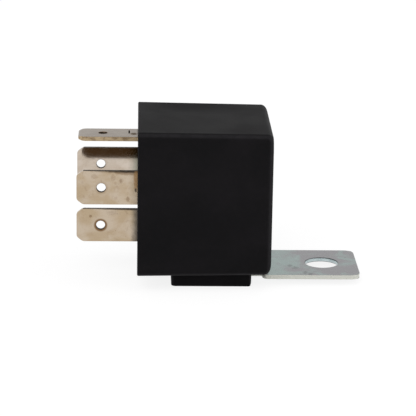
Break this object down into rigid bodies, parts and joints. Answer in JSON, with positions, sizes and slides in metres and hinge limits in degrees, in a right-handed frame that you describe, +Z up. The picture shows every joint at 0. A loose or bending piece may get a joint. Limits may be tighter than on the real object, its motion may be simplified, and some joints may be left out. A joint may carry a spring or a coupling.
{
  "type": "automotive relay",
  "caption": "Plug-in automotive relay in a black box cover, with flat blade terminals and a plated side bracket with a screw hole.",
  "frame": {"origin": "middle of the base's outer face, where the relay meets its socket", "axes": "+X from the blades through the relay to the bracket's tab, +Z up from the bracket pocket that the relay lies on, Y across"},
  "size_m": [0.0528, 0.0256, 0.03],
  "materials": {
    "cover_plastic": "satin moulded black",
    "base_plastic": "matt moulded black",
    "zinc_steel": "zinc plated",
    "blade_metal": "tinned and tarnished",
    "magnet_iron": "nickel plated",
    "bobbin_plastic": "natural nylon",
    "enamelled_copper": "enamelled copper wire",
    "contact_silver": "silver alloy",
    "spring_bronze": "rolled bronze strip",
    "spring_steel": "drawn wire",
    "bare_copper": "braided copper"
  },
  "bodies": {
    "housing": {"cover": "cover_plastic", "base": "base_plastic", "bracket": "zinc_steel", "terminal_30": "blade_metal", "terminal_85": "blade_metal", "terminal_86": "blade_metal", "terminal_87": "blade_metal", "yoke": "magnet_iron", "core": "magnet_iron", "bobbin": "bobbin_plastic", "winding": "enamelled_copper", "coil_lead_a": "enamelled_copper", "coil_lead_b": "enamelled_copper", "fixed_contact": "contact_silver", "back_stop": "zinc_steel", "return_spring": "spring_steel", "braid": "bare_copper"},
    "armature": {"armature": "magnet_iron", "armature_rivets": "magnet_iron", "contact_leaf": "spring_bronze", "moving_contact": "contact_silver"}
  },
  "joints": [
    {"name": "armature_rock", "type": "hinge", "parent": "housing", "child": "armature", "pos_m": [0.0192, 0, -0.0096], "axis": [0, -1, 0], "range_deg": [0, 3.1], "stiffness_Nm_per_rad": 0.02, "springref_deg": -2.86, "deforming": ["return_spring", "braid"]}
  ]
}
